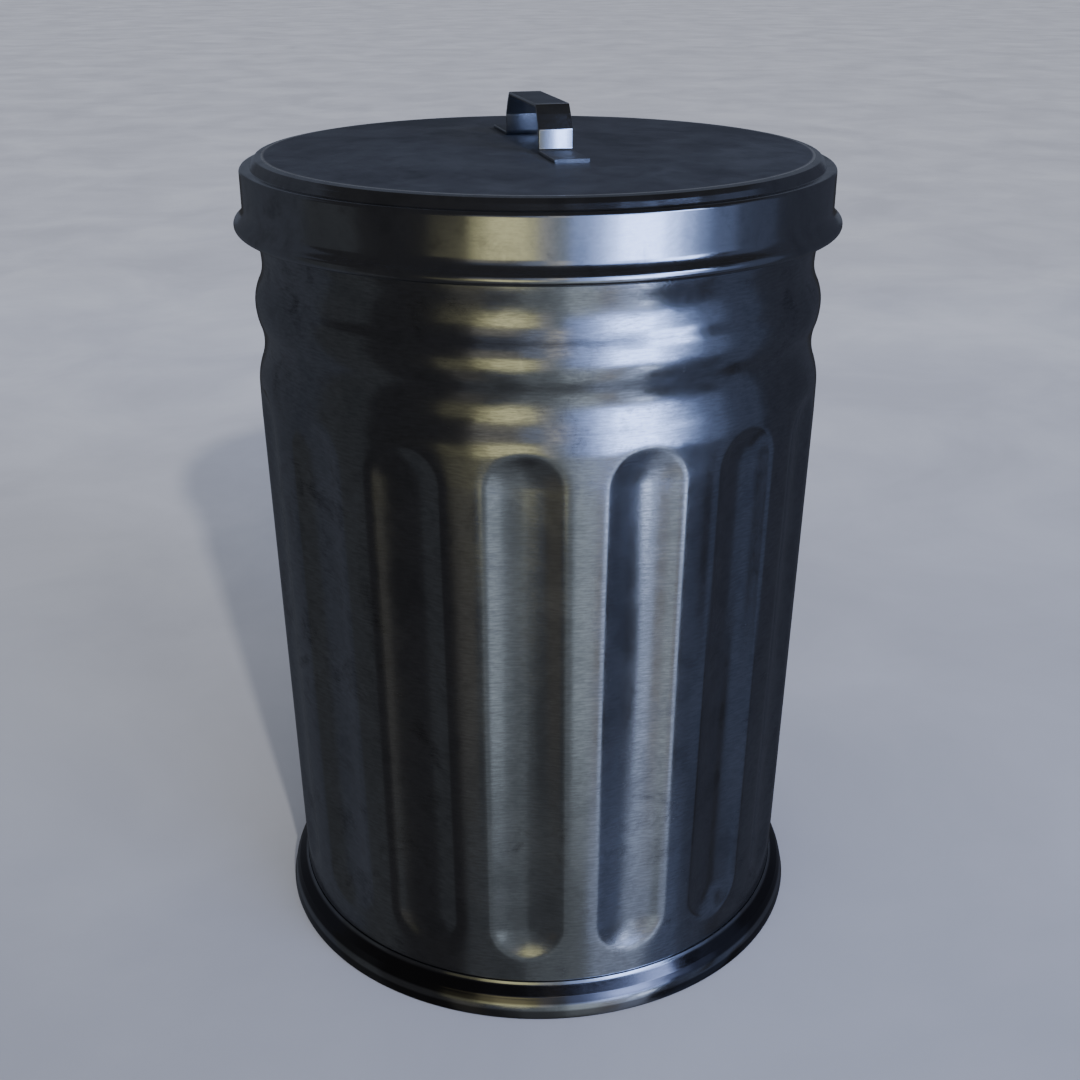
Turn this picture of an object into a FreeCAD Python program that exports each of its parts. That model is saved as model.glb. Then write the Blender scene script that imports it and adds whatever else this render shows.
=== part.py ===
"""Galvanised steel waste can with a lift-off lid, about 26 inches tall and 18 inches across.

The can stands on its foot hoop with +Z up and its origin at the centre of its base, and -Y is its
front. Every piece is pressed, rolled or bent from sheet, strip or wire, so most of them start as
the line of one face of the sheet, which is thickened by the gauge and turned about the can's axis.
Lengths are in millimetres and angles in degrees.
"""
import FreeCAD, Part
import Sketcher
import math
import os
import re

Vector = FreeCAD.Vector
Z_AXIS = Vector(0, 0, 1)
ORIGIN_POINT = (-1, 1)  # a sketch's own origin, as a constraint names it
LEFT, RIGHT = 1, -1
LONGEST_TURN = 80  # degrees that one arc of a roll may take
SHEET_NAME = "Sizes"

DIMENSIONS = {
    # sheet, strip and wire
    "sheet_gauge": 0.7,
    "hoop_gauge": 1.0,
    "strap_gauge": 2.8,
    "rim_wire_radius": 2.3,
    "bead_wire_radius": 3.5,
    # can wall: outside radius and height of each crest and hollow, going up
    "wall_bottom": 1.0,
    "wall_foot_radius": 217.6,
    "shoulder_radius": 227.6,
    "shoulder_height": 462.0,
    "crest_height": 484.0,
    "hollow_radius": 221.2,
    "hollow_height": 519.5,
    "ridge_radius": 226.1,
    "ridge_height": 549.4,
    "neck_radius": 218.8,
    "neck_height": 580.0,
    "mouth_radius": 222.0,
    "mouth_height": 610.0,
    "rim_curl_height": 648.0,
    "rim_curl_radius": 3.1,
    "rim_curl_end": -120.0,
    # flutes pressed into the wall, and its lock seam
    "flute_count": 16,
    "flute_half_width": 28.7,
    "flute_recess": 6.3,
    "flute_low_centre": 79.0,
    "flute_high_centre": 460.0,
    "flute_blend": 14.0,
    "seam_width": 8.0,
    "seam_proud": 0.8,
    "seam_bottom": 27.0,
    "seam_top": 640.0,
    # bottom pan and the sealing fillet round it
    "pan_height": 20.0,
    "pan_radius": 216.7,
    "pan_corner": 3.0,
    "seal_leg": 4.5,
    # foot hoop
    "hoop_top": 27.3,
    "hoop_top_radius": 219.2,
    "hoop_lip_bottom": 25.0,
    "hoop_lip_radius": 220.2,
    "hoop_step_radius": 227.1,
    "hoop_step_height": 18.1,
    "hoop_flare_radius": 231.2,
    "hoop_flare_height": 6.5,
    "hoop_flare_arc": 28.0,
    "hoop_foot_radius": 232.4,
    "hoop_foot_height": 1.3,
    "hoop_edge_radius": 1.3,
    "hoop_flat_radius": 231.1,
    "hoop_inner_radius": 214.0,
    # lid
    "lid_crown_height": 663.8,
    "lid_crown_radius": 126.0,
    "lid_edge_height": 660.2,
    "lid_edge_radius": 214.3,
    "bevel_radius": 220.2,
    "bevel_height": 657.5,
    "bevel_arc": 9.0,
    "ledge_height": 652.3,
    "ledge_inner_radius": 223.4,
    "ledge_outer_radius": 227.7,
    "skirt_radius": 230.7,
    "skirt_corner": 3.0,
    "flare_arc": 11.0,
    "bead_height": 610.4,
    "bead_radius": 4.7,
    "bead_centre_radius": 233.05,
    "bead_end": -200.0,
    "lid_turn_at_rest": 5.0,
    # strap handle, measured from the middle of the lid's crown
    "strap_width": 26.0,
    "foot_end": 103.0,
    "leg_half_span": 56.0,
    "leg_height": 17.5,
    "knee_half_span": 50.2,
    "knee_height": 28.1,
    "grip_half_length": 45.0,
    "grip_height": 35.0,
}

doc = FreeCAD.newDocument("waste_can")


# ---------------------------------------------------------------- sizes


def fill_sheet():
    """Write the driving dimensions into the spreadsheet, one aliased cell each."""
    sheet = doc.addObject("Spreadsheet::Sheet", SHEET_NAME)
    for row, (alias, value) in enumerate(DIMENSIONS.items(), start=1):
        sheet.set(f"A{row}", alias)
        sheet.set(f"B{row}", str(value))
        sheet.setAlias(f"B{row}", alias)
    doc.recompute()
    return sheet


SHEET = fill_sheet()


def sized(formula):
    """The formula with each dimension's name pointing at its cell of the spreadsheet."""
    return re.sub(r"\b[a-z]+_[a-z_]+\b", SHEET_NAME + r".\g<0>", formula)


def value_of(formula):
    """The number that a formula in the dimensions' names gives."""
    return float(SHEET.evalExpression(sized(formula)))


def bind(thing, **formulas):
    """Tie properties of an object to formulas; a double underscore stands for a dot."""
    for name, formula in formulas.items():
        thing.setExpression(name.replace("__", "."), sized(formula))


# ---------------------------------------------------------------- outlines
# An outline is a list of points. (across, up) is reached by a straight line, and
# (across, up, radius, side) by an arc that bends to that side. All are formulas.


def arc_between(start, end, radius, side):
    """The arc under half a turn from start to end, and its two ends in the outline's order."""
    chord = end - start
    sagitta_leg = math.sqrt(max(radius**2 - chord.Length**2 / 4, 0.0))
    across = Vector(-chord.y, chord.x, 0).normalize() * side
    centre = (start + end) / 2 + across * sagitta_leg
    first, last = (start, end) if side == LEFT else (end, start)
    angles = [math.atan2(point.y - centre.y, point.x - centre.x) for point in (first, last)]
    arc = Part.ArcOfCircle(Part.Circle(centre, Z_AXIS, radius), *angles)
    return arc, ((1, 2) if side == LEFT else (2, 1))


def hold_point(sketch, edge, end, point, formulas):
    """Hold one end of an edge at its two formulas, measured from the sketch's origin."""
    for kind, value, formula in zip(("DistanceX", "DistanceY"), point[:2], formulas):
        number = sketch.addConstraint(
            Sketcher.Constraint(kind, *ORIGIN_POINT, edge, end, value)
        )
        sketch.setExpression(f"Constraints[{number}]", sized(formula))


def draw(sketch, outline, closed=False):
    """Draw an outline in a sketch, held everywhere by the spreadsheet's sizes."""
    points = [Vector(value_of(corner[0]), value_of(corner[1]), 0) for corner in outline]
    steps = list(zip(range(len(outline) - 1), range(1, len(outline))))
    if closed:
        steps.append((len(outline) - 1, 0))
    ends = []
    for here, there in steps:
        start, end = points[here], points[there]
        if len(outline[there]) == 2:
            edge = sketch.addGeometry(Part.LineSegment(start, end))
            tail, head = 1, 2
        else:
            radius, side = outline[there][2:]
            arc, (tail, head) = arc_between(start, end, value_of(radius), side)
            edge = sketch.addGeometry(arc)
            size = Sketcher.Constraint("Radius", edge, value_of(radius))
            sketch.setExpression(f"Constraints[{sketch.addConstraint(size)}]", sized(radius))
        if ends:
            sketch.addConstraint(Sketcher.Constraint("Coincident", *ends[-1][1], edge, tail))
        ends.append(((edge, tail), (edge, head)))
        hold_point(sketch, edge, tail, start, outline[here][:2])
    if closed:
        sketch.addConstraint(Sketcher.Constraint("Coincident", *ends[-1][1], *ends[0][0]))
    else:
        hold_point(sketch, *ends[-1][1], points[-1], outline[-1][:2])


def roll(across, up, radius, start, stop, side):
    """Outline points along a roll of sheet about a centre, in arcs under a quarter turn."""
    turn = value_of(stop) - value_of(start)
    count = math.ceil(abs(turn) / LONGEST_TURN)
    points = []
    for step in range(1, count + 1):
        angle = f"({start} + ({stop} - ({start})) * {step} / {count})"
        points.append(
            (f"{across} + {radius} * cos({angle})", f"{up} + {radius} * sin({angle})", radius, side)
        )
    return points


def swell(low, high):
    """Outline points of the smooth S from one crest or hollow to the next one above it."""
    (low_across, low_up), (high_across, high_up) = low, high
    rise = f"({high_up} - {low_up})"
    reach = f"({high_across} - {low_across})"
    radius = f"({rise}^2 + {reach}^2) / (4 * abs({reach}))"
    side = RIGHT if value_of(reach) > 0 else LEFT
    middle = (f"({low_across} + {high_across}) / 2", f"({low_up} + {high_up}) / 2")
    return [(*middle, radius, side), (high_across, high_up, radius, -side)]


# ---------------------------------------------------------------- ways of making a piece


def upright_sketch(name, outline, closed=False):
    """A sketch in the XZ plane, its x along X and its y up Z."""
    sketch = doc.addObject("Sketcher::SketchObject", name)
    sketch.Placement.Rotation = FreeCAD.Rotation(Vector(1, 0, 0), 90)
    draw(sketch, outline, closed)
    return sketch


def thickened(name, outline, gauge):
    """The section of a sheet: an open outline and its copy one gauge to the side."""
    section = doc.addObject("Part::Offset2D", name + "_section")
    section.Source = upright_sketch(name + "_line", outline)
    section.Mode = "Skin"
    section.Join = "Intersection"
    section.Fill = True
    bind(section, Value=gauge)
    return section


def turned(name, section, angle="360"):
    """A section turned about the can's axis."""
    ring = doc.addObject("Part::Revolution", name)
    ring.Source = section
    ring.Axis = Z_AXIS
    ring.Solid = True
    ring.Symmetric = True
    bind(ring, Angle=angle)
    return ring


def sheet_ring(name, outline, gauge="-sheet_gauge"):
    """A piece of sheet turned about the can's axis."""
    return turned(name, thickened(name, outline, gauge))


def wire_ring(name, across, up, radius):
    """A ring of round wire about the can's axis."""
    ring = doc.addObject("Part::Torus", name)
    bind(ring, Radius1=across, Radius2=radius, Placement__Base__z=up)
    return ring


def origin_feature(body, role):
    """One of a body's own origin planes or axes."""
    return next(part for part in body.Origin.OriginFeatures if part.Role == role)


def body_sketch(body, name, outline):
    """A closed sketch on a body's own XZ plane."""
    sketch = body.newObject("Sketcher::SketchObject", name)
    sketch.AttachmentSupport = (origin_feature(body, "XZ_Plane"), [""])
    sketch.MapMode = "FlatFace"
    draw(sketch, outline, closed=True)
    return sketch


# ---------------------------------------------------------------- can wall

SHOULDER = ("shoulder_radius", "shoulder_height")
CREST = ("shoulder_radius", "crest_height")
HOLLOW = ("hollow_radius", "hollow_height")
RIDGE = ("ridge_radius", "ridge_height")
NECK = ("neck_radius", "neck_height")
MOUTH = ("mouth_radius", "mouth_height")
WALL_LEAN = "((shoulder_radius - wall_foot_radius) / (shoulder_height - wall_bottom))"
FLUTE_ARC = "((flute_half_width^2 + flute_recess^2) / (2 * flute_recess))"


def wall_radius(height):
    """Outside radius of the straight part of the wall at a height."""
    return f"wall_foot_radius + ({height} - wall_bottom) * {WALL_LEAN}"


def swages():
    """Outline points of the wall from its shoulder up to its mouth."""
    levels = [CREST, HOLLOW, RIDGE, NECK, MOUTH]
    points = [SHOULDER, CREST]
    for low, high in zip(levels, levels[1:]):
        points += swell(low, high)
    return points


def wall_profile(inset, overrun):
    """Closed outline of the filled can, drawn in by inset and run on at both ends by overrun."""
    points = [
        ("wall_foot_radius", f"wall_bottom - {overrun}"),
        *swages(),
        ("mouth_radius", f"rim_curl_height + {overrun}"),
    ]
    inset_points = [(f"{point[0]} - {inset}", *point[1:]) for point in points]
    return [("0", f"wall_bottom - {overrun}"), *inset_points, ("0", f"rim_curl_height + {overrun}")]


def flute_profile(radius):
    """Half a capsule beside its own long axis, which is the sketch's y axis."""
    length = "(flute_high_centre - flute_low_centre)"
    return [
        ("0", f"-{radius}", radius, LEFT),
        ("0", f"{length} + {radius}"),
        (f"-{radius}", length, radius, LEFT),
        (f"-{radius}", "0"),
    ]


def flute_edges(shape):
    """Names of the edges where the flutes meet the wall: they alone are free curves."""
    names = []
    for number, edge in enumerate(shape.Edges, start=1):
        if edge.Curve.TypeId == "Part::GeomBSplineCurve":
            names.append(f"Edge{number}")
    return names


def fluted_body(name, inset, overrun):
    """The can as a filled solid, drawn in by inset, with a capsule cut out for each flute.

    The capsule leans with the wall and lies outside it, so it cuts to the flute's full recess.
    """
    body = doc.addObject("PartDesign::Body", name)
    filled = body.newObject("PartDesign::Revolution", name + "_filled")
    filled.Profile = body_sketch(body, name + "_profile", wall_profile(inset, overrun))
    filled.ReferenceAxis = (origin_feature(body, "Z_Axis"), [""])
    filled.Angle = 360
    doc.recompute()

    capsule = body_sketch(body, name + "_capsule", flute_profile(f"({FLUTE_ARC} + {inset})"))
    capsule.AttachmentOffset = FreeCAD.Placement(Vector(), FreeCAD.Rotation(Z_AXIS, -1))
    bind(
        capsule,
        AttachmentOffset__Base__x=wall_radius("flute_low_centre") + f" + {FLUTE_ARC} - flute_recess",
        AttachmentOffset__Base__y="flute_low_centre",
        AttachmentOffset__Rotation__Angle=f"-atan({WALL_LEAN})",
    )
    flute = body.newObject("PartDesign::Groove", name + "_flute")
    flute.Profile = capsule
    flute.ReferenceAxis = (capsule, ["V_Axis"])
    flute.Angle = 360
    doc.recompute()

    flutes = body.newObject("PartDesign::PolarPattern", name + "_flutes")
    flutes.Originals = [flute]
    flutes.Axis = (origin_feature(body, "Z_Axis"), [""])
    flutes.Angle = 360
    bind(flutes, Occurrences="flute_count")
    body.Tip = flutes
    doc.recompute()

    lips = body.newObject("PartDesign::Fillet", name + "_flute_lips")
    lips.Base = (flutes, flute_edges(flutes.Shape))
    bind(lips, Radius=f"flute_blend - {inset}")
    body.Tip = lips
    body.Placement.Rotation = FreeCAD.Rotation(Z_AXIS, 1)
    bind(body, Placement__Rotation__Angle="180 / flute_count")
    doc.recompute()
    return body


def make_can_wall():
    """Fluted and swaged wall, with its lock seam at the back and its rim curled out."""
    shell = doc.addObject("Part::Cut", "fluted_shell")
    shell.Base = fluted_body("shell_outside", "0", "0")
    shell.Tool = fluted_body("shell_inside", "sheet_gauge", "1")

    curl_across = "mouth_radius - sheet_gauge + rim_curl_radius"
    curl_start = (f"{curl_across} - rim_curl_radius", "rim_curl_height")
    curl_path = [curl_start]
    curl_path += roll(curl_across, "rim_curl_height", "rim_curl_radius", "180", "rim_curl_end", RIGHT)
    curl = sheet_ring("rim_curl", curl_path, "sheet_gauge")

    seam_line = [
        (wall_radius("seam_bottom"), "seam_bottom"),
        *swages(),
        ("mouth_radius", "seam_top"),
    ]
    seam_angle = "seam_width / mouth_radius * 180 / pi"
    seam = turned("lock_seam", thickened("lock_seam", seam_line, "-seam_proud"), seam_angle)
    seam.Placement.Rotation = FreeCAD.Rotation(Z_AXIS, 90)

    wall = doc.addObject("Part::MultiFuse", "can_wall")
    wall.Shapes = [shell, curl, seam]
    return wall


def make_rim_wire():
    """Wire that the rim is curled round."""
    across = "mouth_radius - sheet_gauge + rim_curl_radius"
    return wire_ring("rim_wire", across, "rim_curl_height", "rim_wire_radius")


# ---------------------------------------------------------------- bottom


def make_bottom_pan():
    """Raised flat bottom with a flange turned down inside the wall."""
    return sheet_ring(
        "bottom_pan",
        [
            ("0", "pan_height"),
            ("pan_radius - pan_corner", "pan_height"),
            ("pan_radius", "pan_height - pan_corner", "pan_corner", RIGHT),
            ("pan_radius", "wall_bottom"),
        ],
    )


def make_bottom_seal():
    """Fillet of sealing compound that closes the corner between the pan and the wall."""
    edge = f"{wall_radius('pan_height')} - sheet_gauge"
    corner = [
        (f"{edge} - seal_leg", "pan_height"),
        (edge, "pan_height"),
        (edge, "pan_height + seal_leg"),
    ]
    return turned("bottom_seal", upright_sketch("bottom_seal_section", corner, closed=True))


def make_foot_hoop():
    """Flared hoop round the foot, its lower edge turned in under the wall."""
    return sheet_ring(
        "foot_hoop",
        [
            ("hoop_top_radius", "hoop_top"),
            ("hoop_lip_radius", "hoop_lip_bottom"),
            ("hoop_step_radius", "hoop_step_height"),
            ("hoop_flare_radius", "hoop_flare_height", "hoop_flare_arc", RIGHT),
            ("hoop_foot_radius", "hoop_foot_height"),
            ("hoop_flat_radius", "0", "hoop_edge_radius", RIGHT),
            ("hoop_inner_radius", "0"),
        ],
        "-hoop_gauge",
    )


# ---------------------------------------------------------------- lid


def make_lid_shell():
    """Pressed lid: raised crown, ledge, skirt, and a bead rolled round its wire."""
    flare_across = "(skirt_radius + flare_arc - bead_centre_radius)"
    flare_up = f"sqrt((flare_arc + bead_radius)^2 - {flare_across}^2)"
    flare_end = f"(asin({flare_up} / (flare_arc + bead_radius)) / 1 deg)"
    bead_start = (
        f"bead_centre_radius + bead_radius * cos({flare_end})",
        f"bead_height + bead_radius * sin({flare_end})",
    )
    return sheet_ring(
        "lid_shell",
        [
            ("0", "lid_crown_height"),
            ("lid_crown_radius", "lid_crown_height"),
            ("lid_edge_radius", "lid_edge_height"),
            ("bevel_radius", "bevel_height", "bevel_arc", RIGHT),
            ("ledge_inner_radius", "ledge_height"),
            ("ledge_outer_radius", "ledge_height"),
            ("skirt_radius", "ledge_height - skirt_corner", "skirt_corner", RIGHT),
            ("skirt_radius", f"bead_height + {flare_up}"),
            (*bead_start, "flare_arc", LEFT),
            *roll("bead_centre_radius", "bead_height", "bead_radius", flare_end, "bead_end", RIGHT),
        ],
    )


def make_lid_rim_wire():
    """Wire that lies loose in the lid's bead."""
    return wire_ring("lid_rim_wire", "bead_centre_radius", "bead_height", "bead_wire_radius")


def make_lid_handle():
    """Handle bent from one flat strap, its two feet turned out on the lid's crown."""
    half = [
        ("foot_end", "strap_gauge"),
        ("leg_half_span", "strap_gauge"),
        ("leg_half_span", "leg_height"),
        ("knee_half_span", "knee_height"),
        ("grip_half_length", "grip_height"),
    ]
    far_half = [(f"-{across}", up) for across, up in half]
    handle = doc.addObject("Part::Extrusion", "lid_handle")
    handle.Base = thickened("lid_handle", far_half + half[::-1], "-strap_gauge")
    handle.DirMode = "Custom"
    handle.Dir = Vector(0, 1, 0)
    handle.Solid = True
    handle.Symmetric = True
    handle.Placement.Rotation = FreeCAD.Rotation(Z_AXIS, 90)
    bind(
        handle,
        LengthFwd="strap_width",
        Placement__Rotation__Angle="90 + lid_turn_at_rest",
        Placement__Base__z="lid_crown_height",
    )
    return handle


# ---------------------------------------------------------------- build and write

MAKERS = [
    make_can_wall,
    make_rim_wire,
    make_bottom_pan,
    make_bottom_seal,
    make_foot_hoop,
    make_lid_shell,
    make_lid_rim_wire,
    make_lid_handle,
]


def check_document():
    """Stop if any object of the document failed to compute."""
    for thing in doc.Objects:
        if "Invalid" in thing.State or "Error" in thing.State:
            raise RuntimeError(f"{thing.Label} failed: {thing.State}")


def write_piece(piece):
    """Write one piece to its own file, after checking that it is sound."""
    if piece.Shape.isNull() or not piece.Shape.isValid():
        raise RuntimeError(f"{piece.Label} is not a valid shape")
    piece.Shape.exportStep(f"parts/{piece.Label}.step")
    solids = len(piece.Shape.Solids)
    print(f"{piece.Label}: {solids} solid, {piece.Shape.Volume / 1000:.1f} cm3")


def main():
    """Build every piece, then write them all."""
    pieces = [make() for make in MAKERS]
    doc.recompute()
    check_document()
    os.makedirs("parts", exist_ok=True)
    for piece in pieces:
        write_piece(piece)


main()
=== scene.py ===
import math

import bpy
import numpy as np
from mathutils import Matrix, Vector


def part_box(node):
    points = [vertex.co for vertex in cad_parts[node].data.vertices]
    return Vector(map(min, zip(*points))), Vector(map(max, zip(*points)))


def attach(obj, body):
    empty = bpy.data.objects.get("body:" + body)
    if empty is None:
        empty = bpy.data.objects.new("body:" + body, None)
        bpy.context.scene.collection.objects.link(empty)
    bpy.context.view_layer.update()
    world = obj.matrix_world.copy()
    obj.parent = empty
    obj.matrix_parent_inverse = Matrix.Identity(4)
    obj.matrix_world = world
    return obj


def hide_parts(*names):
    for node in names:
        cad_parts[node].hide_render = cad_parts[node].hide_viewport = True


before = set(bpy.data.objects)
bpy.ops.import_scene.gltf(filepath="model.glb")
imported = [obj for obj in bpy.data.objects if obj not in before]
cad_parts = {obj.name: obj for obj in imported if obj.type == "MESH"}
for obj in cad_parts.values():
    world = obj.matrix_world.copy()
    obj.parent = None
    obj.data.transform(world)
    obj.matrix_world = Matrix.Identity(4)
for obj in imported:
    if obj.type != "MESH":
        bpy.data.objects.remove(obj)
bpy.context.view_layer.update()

# The looks of a galvanised steel waste can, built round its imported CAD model.
# Everything is in metres, in the CAD frame: +Z up, the can's axis at x = y = 0, and -Y its front.

MM = 0.001

# ---------------------------------------------------------------- sizes

SHEET_GAUGE = 0.7 * MM
HOOP_GAUGE = 1.0 * MM
STRAP_GAUGE = 2.8 * MM
COLUMNS_PER_FLUTE = 36
FLUTE_COUNT = 16
FLUTE_HALF_WIDTH = 28.7 * MM
FLUTE_RECESS = 6.3 * MM
FLUTE_LOW_CENTRE = 79 * MM
FLUTE_HIGH_CENTRE = 460 * MM
FLUTE_BLEND = 1.6 * MM  # how softly a flute's lip rolls into the wall
SEAM_HALF_WIDTH = 4 * MM
SEAM_PROUD = 0.8 * MM
SEAM_BLEND = 0.6 * MM
SHAPED_FROM = 30 * MM  # below this the wall is plain, inside the hoop
SHAPED_TO = 640 * MM  # above this it is plain, inside the lid
SHAPED_FADE = 4 * MM

WALL_FOOT = (217.6 * MM, 1.0 * MM)  # radius and height, and the same for each level above
SHOULDER = (227.6 * MM, 462.0 * MM)
CREST = (227.6 * MM, 484.0 * MM)
HOLLOW = (221.2 * MM, 519.5 * MM)
RIDGE = (226.1 * MM, 549.4 * MM)
NECK = (218.8 * MM, 580.0 * MM)
MOUTH = (222.0 * MM, 610.0 * MM)
RIM_CURL = (224.4 * MM, 648.0 * MM)
RIM_CURL_INSIDE = 2.4 * MM

LID_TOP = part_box("lid_shell")[1].z
BEAD = (233.05 * MM, 610.4 * MM)
BEAD_RADIUS = 4.7 * MM
SKIRT_RADIUS = 230.7 * MM
FLARE_ARC = 11.0 * MM
LID_TURN = math.radians(5.0)
LID_COLUMNS = 384

HOOP_COLUMNS = 288
HOOP_LIP = [  # (across, up, rounding radius), and the same for each outline below
    (218.6 * MM, 27.3 * MM, 0),
    (219.3 * MM, 27.2 * MM, 0.4 * MM),
    (220.2 * MM, 25.0 * MM, 1.4 * MM),
    (227.1 * MM, 18.1 * MM, 3.4 * MM),
    (231.2 * MM, 6.5 * MM, 0),
]
HOOP_FLARE_ARC = 28 * MM
HOOP_FOOT = (232.4 * MM, 1.3 * MM)
HOOP_EDGE_RADIUS = 1.3 * MM
HOOP_FLAT = (231.1 * MM, 0.0)
HOOP_INSIDE = (214 * MM, 0.0)

PAN_COLUMNS = 192
PAN_OUTLINE = [
    (0, 20 * MM, 0),
    (60 * MM, 20 * MM, 0),
    (216.7 * MM, 20 * MM, 3 * MM),
    (216.7 * MM, 1 * MM, 0),
]

LID_CROWN = [  # from the middle of the lid to the top of its skirt
    (0, LID_TOP, 0),
    (60 * MM, LID_TOP, 0),
    (126 * MM, LID_TOP, 12 * MM),
    (214.3 * MM, 660.2 * MM, 2 * MM),
    (218.2 * MM, 659.4 * MM, 2 * MM),
    (220.8 * MM, 656.6 * MM, 3 * MM),
    (222.9 * MM, 652.3 * MM, 1.2 * MM),
    (230.7 * MM, 652.3 * MM, 3.0 * MM),
]

STRAP_WIDTH = 26 * MM
STRAP_EDGE = 0.5 * MM  # rounding of the strap's long edges
STRAP_HALF = [  # heights over the lid
    (103 * MM, 2.8 * MM, 0),
    (56 * MM, 2.8 * MM, 1.6 * MM),
    (56 * MM, 17.5 * MM, 3.2 * MM),
    (50.2 * MM, 28.1 * MM, 3.2 * MM),
    (45 * MM, 35 * MM, 3.2 * MM),
]

BACK = math.pi / 2  # the angle about Z of the wall's seam, where every spun sheet starts
ON_AXIS = 1e-9
SHARP_ANGLE = math.radians(38)


# ---------------------------------------------------------------- lines and sections


def arc(centre, radius, start, stop, count):
    """Points on an arc, its angles in degrees."""
    angles = np.radians(np.linspace(start, stop, count))
    return np.column_stack([centre[0] + radius * np.cos(angles), centre[1] + radius * np.sin(angles)])


def bend(start, end, radius, count):
    """Points on the arc from start to end that bends to the right."""
    chord = end - start
    reach = np.linalg.norm(chord)
    right = np.array([chord[1], -chord[0]]) / reach
    centre = (start + end) / 2 + right * math.sqrt(radius**2 - reach**2 / 4)
    first, last = (math.degrees(math.atan2(*(point - centre)[::-1])) for point in (start, end))
    return arc(centre, radius, first, last if last < first else last - 360, count)


def rounded(corners, segments=8):
    """A line through corners given as (across, up, rounding radius)."""
    points = [np.array(corners[0][:2])]
    for before, here, after in zip(corners, corners[1:], corners[2:]):
        corner = np.array(here[:2])
        back = np.array(before[:2]) - corner
        ahead = np.array(after[:2]) - corner
        back /= np.linalg.norm(back)
        ahead /= np.linalg.norm(ahead)
        half_angle = math.acos(np.clip(back @ ahead, -1, 1)) / 2
        radius = here[2]
        if radius == 0 or abs(half_angle - math.pi / 2) < 1e-4:
            points.append(corner)
            continue
        reach = radius / math.tan(half_angle)
        middle = back + ahead
        centre = corner + middle / np.linalg.norm(middle) * radius / math.sin(half_angle)
        first = corner + back * reach - centre
        last = corner + ahead * reach - centre
        turn = math.atan2(first[0] * last[1] - first[1] * last[0], first @ last)
        start = math.atan2(first[1], first[0])
        for share in np.linspace(0, 1, segments + 1):
            angle = start + turn * share
            points.append(centre + radius * np.array([math.cos(angle), math.sin(angle)]))
    points.append(np.array(corners[-1][:2]))
    return np.array(points)


def swell(low, high, count):
    """The S of two equal arcs from one crest or hollow up to the next, without its last point."""
    rise, reach = high[1] - low[1], high[0] - low[0]
    radius = (rise**2 + reach**2) / (4 * abs(reach))
    up = np.linspace(0, rise, count + 1)[:-1]
    nearest = np.minimum(up, rise - up)
    bow = (radius - np.sqrt(radius**2 - nearest**2)) * np.sign(reach)
    across = np.where(up < rise / 2, low[0] + bow, high[0] - bow)
    return np.column_stack([across, low[1] + up])


def thicken(line, gauge):
    """Closed section between a line and its copy one gauge to the right of its travel."""
    along = np.gradient(line, axis=0)
    along /= np.linalg.norm(along, axis=1)[:, None]
    right = np.column_stack([along[:, 1], -along[:, 0]])
    return np.vstack([line, (line + right * gauge)[::-1]])


def new_piece(name, points, faces, uvs, body, material, slot, *nodes):
    """A smooth-shaded mesh piece that rides a body and stands for CAD nodes."""
    mesh = bpy.data.meshes.new(name)
    mesh.from_pydata(points.tolist(), [], faces)
    layer = mesh.uv_layers.new(name="sheet")
    layer.data.foreach_set("uv", np.asarray(uvs, np.float32).ravel())
    mesh.materials.append(material)
    mesh.polygons.foreach_set("use_smooth", [True] * len(mesh.polygons))
    mesh.set_sharp_from_angle(angle=SHARP_ANGLE)
    mesh.validate()
    mesh.update()
    piece = bpy.data.objects.new(name, mesh)
    bpy.context.scene.collection.objects.link(piece)
    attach(piece, body)
    if nodes:
        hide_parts(*nodes)
    return piece


def paint_inside(piece, material, sides):
    """A second material for the faces marked 1."""
    piece.data.materials.append(material)
    piece.data.polygons.foreach_set("material_index", sides)


def spun_points(ring, columns, shape):
    """A ring of points about Z for each point of a section, one ring after another."""
    angles = BACK + np.arange(columns) * 2 * math.pi / columns
    radius = np.repeat(ring[:, :1], columns, axis=1)
    height = np.repeat(ring[:, 1:], columns, axis=1)
    if shape is not None:
        radius = shape(angles[None, :], radius, height)
    points = np.stack([radius * np.cos(angles), radius * np.sin(angles), height], axis=-1)
    return points.reshape(-1, 3)


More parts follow.
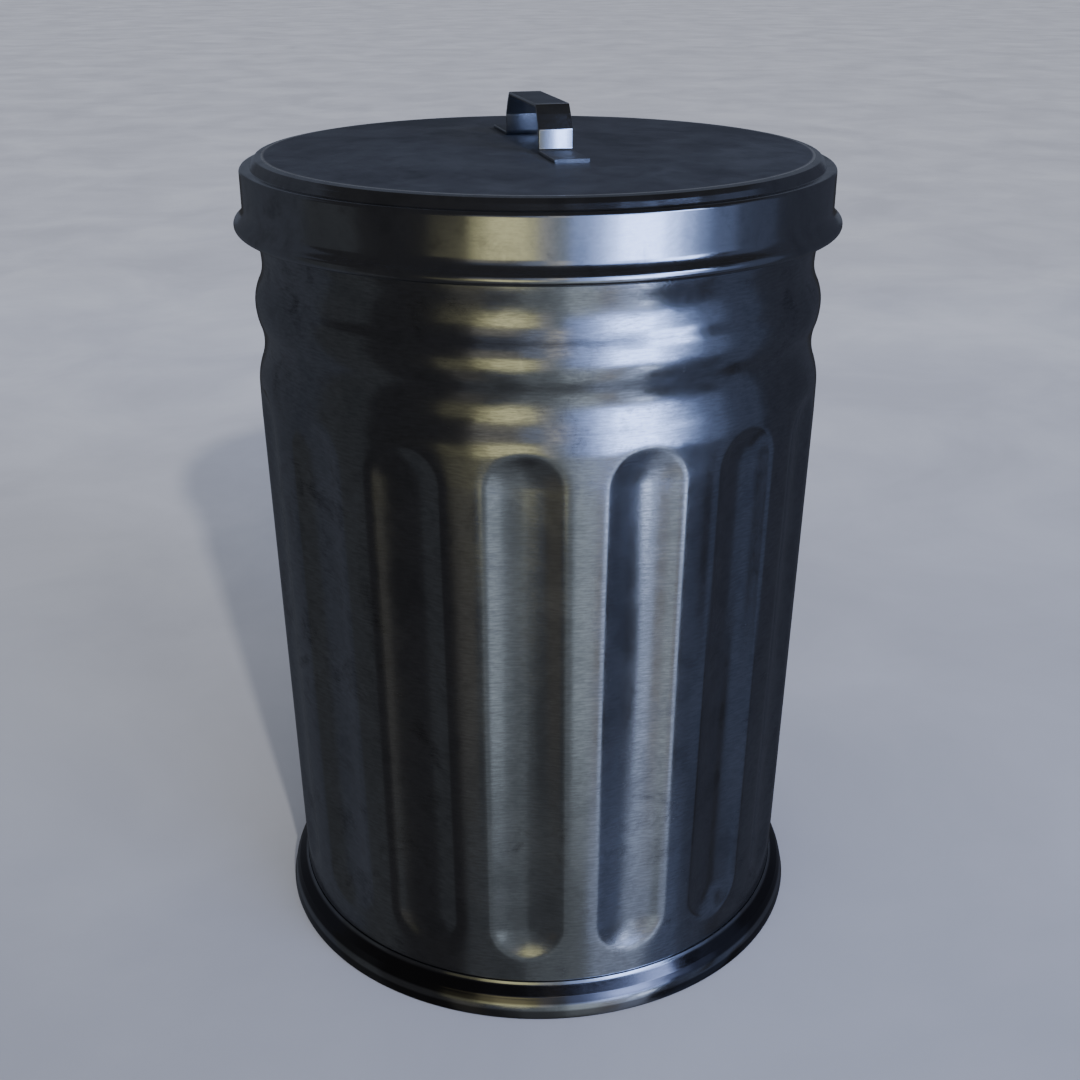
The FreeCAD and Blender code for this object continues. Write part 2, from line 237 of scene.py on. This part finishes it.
def spin(section, columns, shape=None):
    """Points, faces and sheet UVs of a section turned about Z.

    A section whose two ends are on the axis closes there; any other one closes on itself.
    shape(angle, across, up) gives the radius at each point.
    The UVs run round the sheet and along its section, and on flat parts they are X and Y.
    """
    section = np.asarray(section)
    poles = section[0, 0] < ON_AXIS and section[-1, 0] < ON_AXIS
    ring = section[1:-1] if poles else section
    points = spun_points(ring, columns, shape)
    rows = len(ring)
    after = np.roll(ring, -1, axis=0)
    steps = np.linalg.norm(np.diff(np.vstack([ring, ring[:1]]), axis=0), axis=1)
    run = np.concatenate([[0], np.cumsum(steps)])
    reach = ring[:, 0].max() * 2 * math.pi / columns
    flat = np.abs(after[:, 0] - ring[:, 0]) > 3 * np.abs(after[:, 1] - ring[:, 1])
    faces, uvs = [], []
    for row in range(rows - 1 if poles else rows):
        below, above = row * columns, ((row + 1) % rows) * columns
        low, high = run[row], run[row + 1]
        for column in range(columns):
            beside = (column + 1) % columns
            left, right = column * reach, (column + 1) * reach
            faces.append((below + column, below + beside, above + beside, above + column))
            if flat[row]:
                uvs += [tuple(points[corner][:2]) for corner in faces[-1]]
            else:
                uvs += [(left, low), (right, low), (right, high), (left, high)]
    if not poles:
        return points, faces, uvs
    for tip, row, flip in ((section[0], 0, False), (section[-1], rows - 1, True)):
        points = np.vstack([points, [[0, 0, tip[1]]]])
        pole = len(points) - 1
        for column in range(columns):
            near = row * columns + column
            far = row * columns + (column + 1) % columns
            faces.append((pole, near, far) if flip else (pole, far, near))
            uvs += [tuple(points[corner][:2]) for corner in faces[-1]]
    return points, faces, uvs


# ---------------------------------------------------------------- materials


class Nodes:
    """Short ways of adding and joining a material's nodes."""

    def __init__(self, material):
        material.use_nodes = True
        self.tree = material.node_tree
        self.shader = self.tree.nodes["Principled BSDF"]

    def add(self, kind, **values):
        node = self.tree.nodes.new("ShaderNode" + kind)
        for name, value in values.items():
            setattr(node, name, value)
        return node

    def join(self, source, target):
        self.tree.links.new(source, target)

    def stretched(self, coordinates, scale):
        """Coordinates scaled apart along each axis."""
        node = self.add("Mapping")
        node.inputs["Scale"].default_value = scale
        self.join(coordinates, node.inputs["Vector"])
        return node.outputs["Vector"]

    def noise(self, vector, scale, detail=4.0, rough=0.55, distortion=0.0):
        node = self.add("TexNoise")
        node.inputs["Scale"].default_value = scale
        node.inputs["Detail"].default_value = detail
        node.inputs["Roughness"].default_value = rough
        node.inputs["Distortion"].default_value = distortion
        self.join(vector, node.inputs["Vector"])
        return node.outputs["Fac"]

    def ramp(self, factor, low, high, from_low=0.3, from_high=0.7):
        """A factor remapped from one span to another, held at its ends."""
        node = self.add("MapRange")
        node.inputs["From Min"].default_value = from_low
        node.inputs["From Max"].default_value = from_high
        node.inputs["To Min"].default_value = low
        node.inputs["To Max"].default_value = high
        self.join(factor, node.inputs["Value"])
        return node.outputs["Result"]

    def math(self, operation, first, second):
        node = self.add("Math", operation=operation)
        for socket, value in zip(node.inputs, (first, second)):
            if isinstance(value, (int, float)):
                socket.default_value = value
            else:
                self.join(value, socket)
        return node.outputs[0]

    def blend(self, factor, first, second):
        """Two colours mixed by a factor."""
        node = self.add("Mix", data_type="RGBA")
        for socket, value in ((node.inputs[6], first), (node.inputs[7], second)):
            if isinstance(value, tuple):
                socket.default_value = (*value, 1.0)
            else:
                self.join(value, socket)
        self.join(factor, node.inputs[0])
        return node.outputs[2]

    def bump(self, height, strength, distance, normal=None):
        node = self.add("Bump")
        node.inputs["Strength"].default_value = strength
        node.inputs["Distance"].default_value = distance
        self.join(height, node.inputs["Height"])
        if normal is not None:
            self.join(normal, node.inputs["Normal"])
        return node.outputs["Normal"]


ROLLED = 0.35  # how much wider reflections spread across the rolling marks
QUARTER_TURN = 0.25
# Dark grey of the dirt, also used for the painted shade bands.
GRIME_AND_SHADE = (0.09, 0.085, 0.09)
SHADE_BAND_EDGE = 1 * MM
DUST = ((0.034, 0.038, 0.050), (0.062, 0.069, 0.088))
DUST_EDGE = 1.5 * MM


def dust_within(n, solid, reach):
    """1 nearer the axis than a reach, and 0 beyond it."""
    flat = n.add("VectorMath", operation="MULTIPLY")
    n.join(solid, flat.inputs[0])
    flat.inputs[1].default_value = (1.0, 1.0, 0.0)
    radius = n.add("VectorMath", operation="LENGTH")
    n.join(flat.outputs["Vector"], radius.inputs[0])
    return n.ramp(radius.outputs["Value"], 1.0, 0.0, reach - DUST_EDGE, reach + DUST_EDGE)


def dust_on_tops(n, normal):
    """1 where a face looks up, and 0 where it is steep."""
    facing = n.add("SeparateXYZ")
    n.join(normal, facing.inputs["Vector"])
    return n.ramp(facing.outputs["Z"], 0.0, 1.0, 0.86, 0.97)


def with_painted_shade_bands(n, solid, dirt_and_shade, bands):
    """Dirt with painted shade added in bands of height, each given as (low, high, how thick)."""
    height = n.add("SeparateXYZ")
    n.join(solid, height.inputs["Vector"])
    for low, high, depth in bands:
        rise = n.ramp(height.outputs["Z"], 0.0, depth, low - SHADE_BAND_EDGE, low + SHADE_BAND_EDGE)
        fall = n.ramp(height.outputs["Z"], 1.0, 0.0, high - SHADE_BAND_EDGE, high + SHADE_BAND_EDGE)
        dirt_and_shade = n.math("MAXIMUM", dirt_and_shade, n.math("MULTIPLY", rise, fall))
    return dirt_and_shade


def galvanised(
    name,
    bright,
    dull,
    smooth,
    coarse,
    streak=1.0,
    metallic=1.0,
    shade_bands=(),
    dusty_reach=None,
    dusty_tops=False,
):
    """Aged galvanised sheet: cloudy grey zinc with smudges and short rolling marks along the sheet.

    smooth and coarse are its least and most roughness, and streak is how strong the marks are.
    """
    material = bpy.data.materials.new(name)
    n = Nodes(material)
    place = n.add("TexCoord")
    solid = place.outputs["Object"]
    along = place.outputs["UV"]

    cloud = n.noise(solid, 9.0, 5.0, 0.6, 0.6)
    blotch = n.noise(solid, 34.0, 7.0, 0.68, 0.5)
    marks = n.noise(n.stretched(along, (95.0, 620.0, 1.0)), 1.0, 4.0, 0.66)
    grain = n.noise(n.stretched(along, (320.0, 2600.0, 1.0)), 1.0, 2.0, 0.6)

    mottle = n.math("ADD", n.math("MULTIPLY", cloud, 0.5), n.math("MULTIPLY", blotch, 0.5))
    dashes = n.math("MULTIPLY", n.ramp(marks, 1.0, 0.0, 0.34, 0.62), streak)
    smudge = n.ramp(n.math("MULTIPLY", blotch, n.math("ADD", cloud, 0.5)), 0.0, 1.0, 0.48, 0.72)
    dirt_and_shade = n.math("ADD", n.math("MULTIPLY", smudge, 0.45), n.math("MULTIPLY", dashes, 0.30))
    # Painted shade: bands of height darkened with the dirt's grey, standing for shade rather than
    # dirt.
    if shade_bands:
        dirt_and_shade = with_painted_shade_bands(n, solid, dirt_and_shade, shade_bands)
    zinc = n.blend(n.ramp(mottle, 0.0, 1.0, 0.42, 0.58), dull, bright)
    # The sheet's colour takes real dirt and the painted shade bands alike.
    colour = n.blend(dirt_and_shade, zinc, GRIME_AND_SHADE)

    fine = n.math("ADD", n.math("MULTIPLY", mottle, 0.6), n.math("MULTIPLY", grain, 0.4))
    rough = n.ramp(fine, smooth, coarse, 0.40, 0.60)
    rough = n.math("ADD", rough, n.math("MULTIPLY", dashes, 0.05))
    rough = n.math("ADD", rough, n.math("MULTIPLY", smudge, 0.04))
    n.shader.inputs["Metallic"].default_value = metallic
    dust = None
    if dusty_reach is not None:
        dust = dust_within(n, solid, dusty_reach)
    elif dusty_tops:
        dust = dust_on_tops(n, place.outputs["Normal"])
    if dust is not None:
        rough = n.math("ADD", rough, n.math("MULTIPLY", dust, 0.42))
        metal = n.math("SUBTRACT", 1.0, n.math("MULTIPLY", dust, 0.85))
        colour = n.blend(dust, colour, n.blend(n.ramp(mottle, 0.0, 1.0, 0.40, 0.60), *DUST))
        n.join(metal, n.shader.inputs["Metallic"])
    n.join(colour, n.shader.inputs["Base Color"])
    n.join(rough, n.shader.inputs["Roughness"])
    n.shader.inputs["Anisotropic"].default_value = ROLLED
    n.shader.inputs["Anisotropic Rotation"].default_value = QUARTER_TURN
    tangent = n.add("Tangent", direction_type="UV_MAP", uv_map="sheet")
    n.join(tangent.outputs["Tangent"], n.shader.inputs["Tangent"])

    ripple = n.bump(n.noise(solid, 11.0, 1.0, 0.4), 0.12, 0.8 * MM)
    lines = n.bump(marks, 0.20 * streak, 0.10 * MM, ripple)
    n.join(n.bump(grain, 0.20, 0.04 * MM, lines), n.shader.inputs["Normal"])
    return material


def plain_material(name, colour, roughness, metallic=0.0):
    """A matt or metal material with a fine mottle."""
    material = bpy.data.materials.new(name)
    n = Nodes(material)
    solid = n.add("TexCoord").outputs["Object"]
    mottle = n.noise(solid, 120.0, 4.0)
    darker = tuple(0.8 * part for part in colour)
    n.join(n.blend(n.ramp(mottle, 0.0, 1.0), darker, colour), n.shader.inputs["Base Color"])
    n.join(n.ramp(mottle, roughness * 1.15, roughness * 0.85), n.shader.inputs["Roughness"])
    n.shader.inputs["Metallic"].default_value = metallic
    n.join(n.bump(mottle, 0.3, 0.1 * MM), n.shader.inputs["Normal"])
    return material


# ---------------------------------------------------------------- can


def lean(up):
    """Radius of the straight part of the wall, carried on above and below it."""
    reach, rise = SHOULDER[0] - WALL_FOOT[0], SHOULDER[1] - WALL_FOOT[1]
    return WALL_FOOT[0] + (up - WALL_FOOT[1]) * reach / rise


def flute_depth(angle, outer, up):
    """How far a flute presses in the wall's outer face, by angle about Z, its radius and height."""
    pitch = 2 * math.pi / FLUTE_COUNT
    across = ((angle - BACK) % pitch - pitch / 2) * outer
    beyond = np.maximum(FLUTE_LOW_CENTRE - up, 0) + np.maximum(up - FLUTE_HIGH_CENTRE, 0)
    away = np.hypot(across, beyond)
    section_radius = (FLUTE_HALF_WIDTH**2 + FLUTE_RECESS**2) / (2 * FLUTE_RECESS)
    drop = np.sqrt(np.maximum(section_radius**2 - away**2, 0)) - (section_radius - FLUTE_RECESS)
    inside = drop + outer - lean(up)
    near = inside > -20 * FLUTE_BLEND  # further off, what is left of the blend is cut to nothing
    return 0.5 * (inside + np.sqrt(inside**2 + FLUTE_BLEND**2)) * near


def seam_height(angle):
    """How far the lock seam at the back stands out of the wall."""
    off = np.abs((angle - BACK + math.pi) % (2 * math.pi) - math.pi) * SHOULDER[0]
    return SEAM_PROUD * np.clip((SEAM_HALF_WIDTH - off) / SEAM_BLEND + 0.5, 0, 1)


def wall_shape(angle, across, up):
    """Radius of the wall with its flutes and its seam."""
    outer = np.interp(up, WALL_LINE[:-CURL_POINTS, 1], WALL_LINE[:-CURL_POINTS, 0])
    fade = np.clip((up - SHAPED_FROM) / SHAPED_FADE, 0, 1) * (up < SHAPED_TO)
    return across - flute_depth(angle, outer, up) * fade + seam_height(angle) * fade


def straight_wall(first, last, count):
    """Points up the straight part of the wall, without the last."""
    up = np.linspace(first, last, count + 1)[:-1]
    return np.column_stack([lean(up), up])


CURL_POINTS = 22


def wall_line():
    """Outer face of the wall from its foot to the end of its rim curl."""
    foot_end, low_end, high_end = 46 * MM, 96 * MM, 436 * MM
    mouth_end = (MOUTH[0], 630 * MM)
    crest = np.linspace(SHOULDER[1], CREST[1], 15)[:-1]
    return np.vstack(
        [
            straight_wall(WALL_FOOT[1], foot_end, 9),
            straight_wall(foot_end, low_end, 33),
            straight_wall(low_end, high_end, 9),
            straight_wall(high_end, SHOULDER[1], 18),
            np.column_stack([np.full(14, CREST[0]), crest]),
            swell(CREST, HOLLOW, 28),
            swell(HOLLOW, RIDGE, 16),
            swell(RIDGE, NECK, 18),
            swell(NECK, MOUTH, 16),
            [MOUTH, mouth_end],
            arc(RIM_CURL, RIM_CURL_INSIDE, 180, -120, CURL_POINTS),
        ]
    )


WALL_LINE = wall_line()


def make_wall(material, inside_material):
    columns = FLUTE_COUNT * COLUMNS_PER_FLUTE
    data = spin(thicken(WALL_LINE, -SHEET_GAUGE), columns, wall_shape)
    piece = new_piece("wall_skin", *data, "can", material, "galvanised_wall", "can_wall")
    outside = columns * (len(WALL_LINE) + CURL_POINTS)  # the curl turns the sheet's inner face outward
    sides = [0] * outside + [1] * (len(piece.data.polygons) - outside)
    paint_inside(piece, inside_material, sides)


def make_hoop(material):
    lip = rounded(HOOP_LIP, 10)[:-1]
    flare = bend(lip[-1], np.array(HOOP_LIP[-1][:2]), HOOP_FLARE_ARC, 14)
    edge = bend(np.array(HOOP_FOOT), np.array(HOOP_FLAT), HOOP_EDGE_RADIUS, 8)
    line = np.vstack([lip, flare[1:], edge, [HOOP_INSIDE]])
    data = spin(thicken(line, HOOP_GAUGE), HOOP_COLUMNS)
    new_piece("hoop_band", *data, "can", material, "galvanised_hoop", "foot_hoop")


def make_pan(material):
    data = spin(thicken(rounded(PAN_OUTLINE), SHEET_GAUGE), PAN_COLUMNS)
    new_piece("pan_disc", *data, "can", material, "galvanised_wall", "bottom_pan")


# ---------------------------------------------------------------- lid


def make_lid(material, inside_material):
    flare_across = SKIRT_RADIUS + FLARE_ARC - BEAD[0]
    flare_up = math.sqrt((FLARE_ARC + BEAD_RADIUS) ** 2 - flare_across**2)
    flare_end = math.degrees(math.atan2(flare_up, flare_across))
    crown = rounded([*LID_CROWN, (SKIRT_RADIUS, BEAD[1] + flare_up, 0)])
    flare = arc((SKIRT_RADIUS + FLARE_ARC, BEAD[1] + flare_up), FLARE_ARC, 180, 180 + flare_end, 10)
    bead = arc(BEAD, BEAD_RADIUS, flare_end, -200, 30)
    line = np.vstack([crown, flare[1:], bead[1:]])
    data = spin(thicken(line, SHEET_GAUGE), LID_COLUMNS)
    piece = new_piece("lid_pressing", *data, "lid", material, "galvanised_lid", "lid_shell")
    outside = LID_COLUMNS * (len(line) - 1)
    inside = len(piece.data.polygons) - outside - 2 * LID_COLUMNS
    middles = [0] * LID_COLUMNS + [1] * LID_COLUMNS
    paint_inside(piece, inside_material, [0] * outside + [1] * inside + middles)


def strap_section():
    """Closed section of the bent strap, as (across, up) with heights over the lid."""
    far = [(-across, up, radius) for across, up, radius in STRAP_HALF]
    return thicken(rounded(far + STRAP_HALF[::-1], 5), STRAP_GAUGE)


def strap_rows():
    """(offset across the strap's width, how far its section shrinks) from one side to the other."""
    side = [
        (STRAP_WIDTH / 2 - back * STRAP_EDGE, inset * STRAP_EDGE)
        for back, inset in ((0.0, 1.0), (0.3, 0.3), (1.0, 0.0))
    ]
    return [(-offset, inset) for offset, inset in side] + side[::-1]


def make_handle(material):
    section = strap_section()
    rows = strap_rows()
    count = len(section)
    half_count = count // 2
    centre_line = (section[:half_count] + section[half_count:][::-1]) / 2
    inward = np.vstack([centre_line, centre_line[::-1]]) - section
    inward /= np.linalg.norm(inward, axis=1)[:, None]
    turn = BACK + LID_TURN
    points = []
    for offset, inset in rows:
        for across, up in section + inward * inset:
            x = across * math.cos(turn) - offset * math.sin(turn)
            y = across * math.sin(turn) + offset * math.cos(turn)
            points.append((x, y, LID_TOP + up))
    steps = np.concatenate([[0], np.cumsum(np.linalg.norm(np.diff(section, axis=0), axis=1))])
    steps = np.append(steps, steps[-1] + STRAP_GAUGE)
    faces, uvs = [], []
    for row in range(len(rows) - 1):
        low, high = rows[row][0], rows[row + 1][0]
        below, above = row * count, (row + 1) * count
        for column in range(count):
            beside = (column + 1) % count
            left, right = steps[column], steps[column + 1]
            faces.append((below + column, below + beside, above + beside, above + column))
            uvs += [(left, low), (right, low), (right, high), (left, high)]
    for row in (0, len(rows) - 1):
        for column in range(half_count - 1):
            quad = [column, column + 1, count - 2 - column, count - 1 - column]
            quad = [row * count + place for place in quad]
            faces.append(tuple(quad if row else quad[::-1]))
            uvs += [(steps[column], rows[row][0])] * 4
    points = np.array(points)
    new_piece("handle_strap", points, faces, uvs, "lid", material, "handle_strap", "lid_handle")


# ---------------------------------------------------------------- stage

CAMERA_TURN = -8.75  # degrees from the can's front to the camera, positive to the can's +X side
CAMERA_REACH = 1.1253
CAMERA_HEIGHT = 0.8161
CAMERA_DIP = 23.51
CAMERA_YAW = -0.078
CAMERA_LENS = 46.67


def beside_can(turn, reach, height):
    """A point at an angle from the camera's side of the can, positive to the camera's right."""
    angle = math.radians(CAMERA_TURN + turn)
    return Vector((reach * math.sin(angle), -reach * math.cos(angle), height))


def make_camera():
    data = bpy.data.cameras.new("camera")
    data.lens = CAMERA_LENS
    data.sensor_width = 36.0
    camera = bpy.data.objects.new("camera", data)
    camera.location = beside_can(0, CAMERA_REACH, CAMERA_HEIGHT)
    heading = math.radians(CAMERA_TURN + CAMERA_YAW)
    camera.rotation_euler = (math.radians(90 - CAMERA_DIP), 0, heading)
    bpy.context.scene.collection.objects.link(camera)
    bpy.context.scene.camera = camera


def softbox(name, turn, bottom, width, tall, power, colour):
    """An upright rectangular light that faces the can's axis."""
    data = bpy.data.lights.new(name, "AREA")
    data.shape = "RECTANGLE"
    data.size = width
    data.size_y = tall
    data.energy = power
    data.color = colour
    light = bpy.data.objects.new(name, data)
    light.location = beside_can(turn, SOFTBOX_REACH, bottom + tall / 2)
    towards = Vector((-light.location.x, -light.location.y, 0))
    light.rotation_euler = towards.to_track_quat("-Z", "Y").to_euler()
    bpy.context.scene.collection.objects.link(light)


def sun(name, turn, elevation, strength, spread, colour):
    """A distant light, given by where it stands, that metal does not mirror."""
    data = bpy.data.lights.new(name, "SUN")
    data.energy = strength
    data.angle = math.radians(spread)
    data.color = colour
    light = bpy.data.objects.new(name, data)
    rise = math.radians(elevation)
    light.location = beside_can(turn, SUN_REACH * math.cos(rise), SUN_REACH * math.sin(rise))
    light.rotation_euler = (-light.location).to_track_quat("-Z", "Y").to_euler()
    light.visible_glossy = False
    bpy.context.scene.collection.objects.link(light)


WORLD_GREY = (0.032, 0.032, 0.035)
SUN_REACH = 4.0
SOFTBOX_REACH = 2.4
WARM = (1.0, 0.95, 0.5)
CREAM = (1.0, 0.95, 0.8)
WHITE = (1.0, 1.0, 1.0)
PALE = (0.8, 0.92, 1.0)
COOL = (0.6, 0.72, 1.0)
BLUE = (0.4, 0.54, 1.0)
SOFTBOXES = {
    # name: (left edge, right edge, bottom, top, brightness, colour)
    # The edges are angles from the camera's side, positive to its right.
    "warm_left": (-37, -23, -0.4, 0.45, 0.11, WARM),
    "warm_edge": (-23, -17, -0.25, 0.65, 0.6, WARM),
    "warm_high": (-17, -4, -0.25, 0.65, 1.1, WARM),
    "warm_fall": (-4, 0, -0.25, 0.65, 0.75, WARM),
    "warm_low": (-20, -6, -0.8, -0.25, 0.11, COOL),
    "toe_warm": (-14, -4, -0.48, -0.3, 0.5, WARM),
    "veil_high": (-24, -6, 0.65, 1.4, 0.22, CREAM),
    "veil_top": (-24, -6, 1.4, 2.1, 0.1, COOL),
    "middle_left": (0, 5, -0.3, 0.8, 0.42, WHITE),
    "middle_right": (5, 11, -0.3, 0.8, 0.3, PALE),
    "middle_veil": (-6, 4, 0.8, 2.1, 0.34, COOL),
    "middle_top": (4, 11, 0.8, 2.1, 0.6, CREAM),
    "cool_high": (11, 18, -0.1, 2.0, 1.1, BLUE),
    "cool_rise": (18, 23, -0.1, 2.0, 1.8, BLUE),
    "cool_step": (23, 28, -0.1, 1.2, 4.0, BLUE),
    "cool_haze": (23, 42, 1.2, 2.0, 3.6, BLUE),
    "core_low": (28, 44, 0.1, 1.2, 9.5, BLUE),
    "core_late": (44, 50, 0.1, 1.2, 4.5, BLUE),
    "core_last": (50, 56, 0.1, 1.2, 1.9, BLUE),
    "core_foot": (28, 52, -0.1, 0.1, 6.0, BLUE),
    "core_under": (30, 48, -0.38, -0.1, 0.25, PALE),
    "core_toe": (38, 46, -0.55, -0.38, 3.5, COOL),
    "core_high": (42, 61, 1.2, 1.95, 9.0, BLUE),
    "core_fall": (56, 62, -0.1, 1.2, 0.75, BLUE),
    "blue_high": (62, 74, -0.2, 1.2, 0.32, BLUE),
    "blue_side": (74, 94, -0.9, 2.1, 0.12, BLUE),
    "under_warm": (-34, -22, -1.4, -0.4, 0.07, CREAM),
    "under_dark": (-22, -13, -1.4, -0.8, 0.05, PALE),
    "under_left": (-13, -7, -1.4, -0.8, 0.11, PALE),
    "under_middle": (-7, 5, -1.4, -0.3, 0.2, PALE),
    "under_rise": (5, 11, -1.4, -0.3, 0.25, PALE),
    "under_first": (11, 24, -1.4, -0.1, 0.6, PALE),
    "under_between": (24, 33, -1.4, -0.1, 0.33, WHITE),
    "under_second": (33, 44, -1.4, -0.4, 1.0, COOL),
    "under_blue": (44, 56, -1.4, -0.1, 0.02, BLUE),
    "under_shade": (56, 68, -1.4, -0.1, 0.08, BLUE),
    "under_side": (68, 86, -1.4, -0.9, 0.13, BLUE),
    "deep_left": (-34, -6, -2.6, -1.4, 0.06, PALE),
    "deep_middle": (-6, 24, -2.6, -1.4, 0.15, PALE),
    "deep_second": (24, 50, -2.6, -1.4, 0.5, COOL),
    "deep_blue": (50, 68, -2.6, -1.4, 0.2, BLUE),
    "deep_side": (68, 86, -2.6, -1.4, 0.08, BLUE),
    "left_side": (-92, -66, -2.6, 1.2, 0.03, PALE),
    "left_glow": (-150, -92, -2.6, 2.6, 0.05, COOL),
    "right_glow": (94, 150, -2.6, 2.6, 0.04, BLUE),
    "back_glow": (150, 210, 0.4, 2.6, 0.12, COOL),
}


def make_lights():
    sun("key", turn=18.4, elevation=30, strength=1.5, spread=2.0, colour=(1.0, 0.98, 0.93))
    sun("fill", turn=0, elevation=89.9, strength=1.6, spread=150, colour=(0.86, 0.91, 1.0))
    for name, (left, right, bottom, top, brightness, colour) in SOFTBOXES.items():
        width = 2 * SOFTBOX_REACH * math.tan(math.radians(right - left) / 2)
        power = brightness * math.pi * width * (top - bottom)
        softbox(name, (left + right) / 2, bottom, width, top - bottom, power, colour)

    world = bpy.data.worlds.new("studio")
    world.use_nodes = True
    world.node_tree.nodes["Background"].inputs["Color"].default_value = (*WORLD_GREY, 1.0)
    bpy.context.scene.world = world


FLOOR_HALF = 40.0
# Painted light: the floor's colour goes from a darker near tone to a lighter, bluer far tone, standing
# for brighter light further back.
FLOOR_NEAR = ((0.385, 0.385, 0.412), (0.41, 0.41, 0.437))
FLOOR_FAR_PAINTED_LIGHT = ((0.57, 0.58, 0.66), (0.70, 0.71, 0.79))
FLOOR_PAINTED_LIGHT_SPAN = (-0.6, 1.8)  # along Y, the span over which the painted light brightens the floor


def make_floor():
    mesh = bpy.data.meshes.new("floor")
    corners = [(x * FLOOR_HALF, y * FLOOR_HALF, 0) for x, y in ((-1, -1), (1, -1), (1, 1), (-1, 1))]
    mesh.from_pydata(corners, [], [(0, 1, 2, 3)])
    floor = bpy.data.objects.new("floor", mesh)
    material = bpy.data.materials.new("floor_paint")
    n = Nodes(material)
    solid = n.add("TexCoord").outputs["Object"]
    cloud = n.noise(solid, 2.6, 6.0, 0.6, 0.4)
    place = n.add("SeparateXYZ")
    n.join(solid, place.inputs["Vector"])
    # Painted light: the floor blends to its lighter far tone towards the back.
    painted_light_behind = n.ramp(place.outputs["Y"], 0.0, 1.0, *FLOOR_PAINTED_LIGHT_SPAN)
    mottle = n.ramp(cloud, 0.0, 1.0, 0.35, 0.65)
    near = n.blend(mottle, *FLOOR_NEAR)
    far = n.blend(mottle, *FLOOR_FAR_PAINTED_LIGHT)
    n.join(n.blend(painted_light_behind, near, far), n.shader.inputs["Base Color"])
    n.shader.inputs["Roughness"].default_value = 0.9
    n.shader.inputs["Specular IOR Level"].default_value = 0.1
    mesh.materials.append(material)
    bpy.context.scene.collection.objects.link(floor)
    floor.visible_glossy = False
    floor.visible_shadow = False


# ---------------------------------------------------------------- build

make_camera()
make_lights()
make_floor()

ZINC = ((0.52, 0.53, 0.55), (0.37, 0.38, 0.40))
DULL = ((0.60, 0.61, 0.63), (0.44, 0.45, 0.47))
STEEL = ((0.62, 0.64, 0.67), (0.45, 0.47, 0.50))
LID_DUST_REACH = 212.5 * MM
# Painted shade on the hoop: a dark band at its foot and hem, and one over its upward-facing step,
# where its reflections are dark.
HOOP_PAINTED_SHADE = ((-3 * MM, 7.5 * MM, 0.85), (12.5 * MM, 25.0 * MM, 0.95))
WALL_ZINC = galvanised("wall_zinc", *ZINC, smooth=0.13, coarse=0.21)
HOOP_ZINC = galvanised(
    "hoop_zinc", *ZINC, smooth=0.13, coarse=0.19, streak=0.5, shade_bands=HOOP_PAINTED_SHADE
)
LID_ZINC = galvanised(
    "lid_zinc", *ZINC, smooth=0.13, coarse=0.21, streak=0.25, dusty_reach=LID_DUST_REACH
)
DULL_ZINC = galvanised("dull_zinc", *DULL, smooth=0.36, coarse=0.48, metallic=0.35)
STRAP_STEEL = galvanised(
    "strap_steel", *STEEL, smooth=0.12, coarse=0.22, streak=0.3, dusty_tops=True
)

make_wall(WALL_ZINC, DULL_ZINC)
make_hoop(HOOP_ZINC)
make_pan(DULL_ZINC)
make_lid(LID_ZINC, DULL_ZINC)
make_handle(STRAP_STEEL)

WIRE_GREY = (0.42, 0.43, 0.44)
SEAL_GREY = (0.16, 0.16, 0.17)
CARRIED = {
    "rim_wire": plain_material("wire_steel", WIRE_GREY, roughness=0.35, metallic=1.0),
    "lid_rim_wire": plain_material("bead_wire_steel", WIRE_GREY, roughness=0.35, metallic=1.0),
    "bottom_seal": plain_material("sealing_compound", SEAL_GREY, roughness=0.7),
}
for node, material in CARRIED.items():
    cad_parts[node].data.materials.clear()
    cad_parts[node].data.materials.append(material)
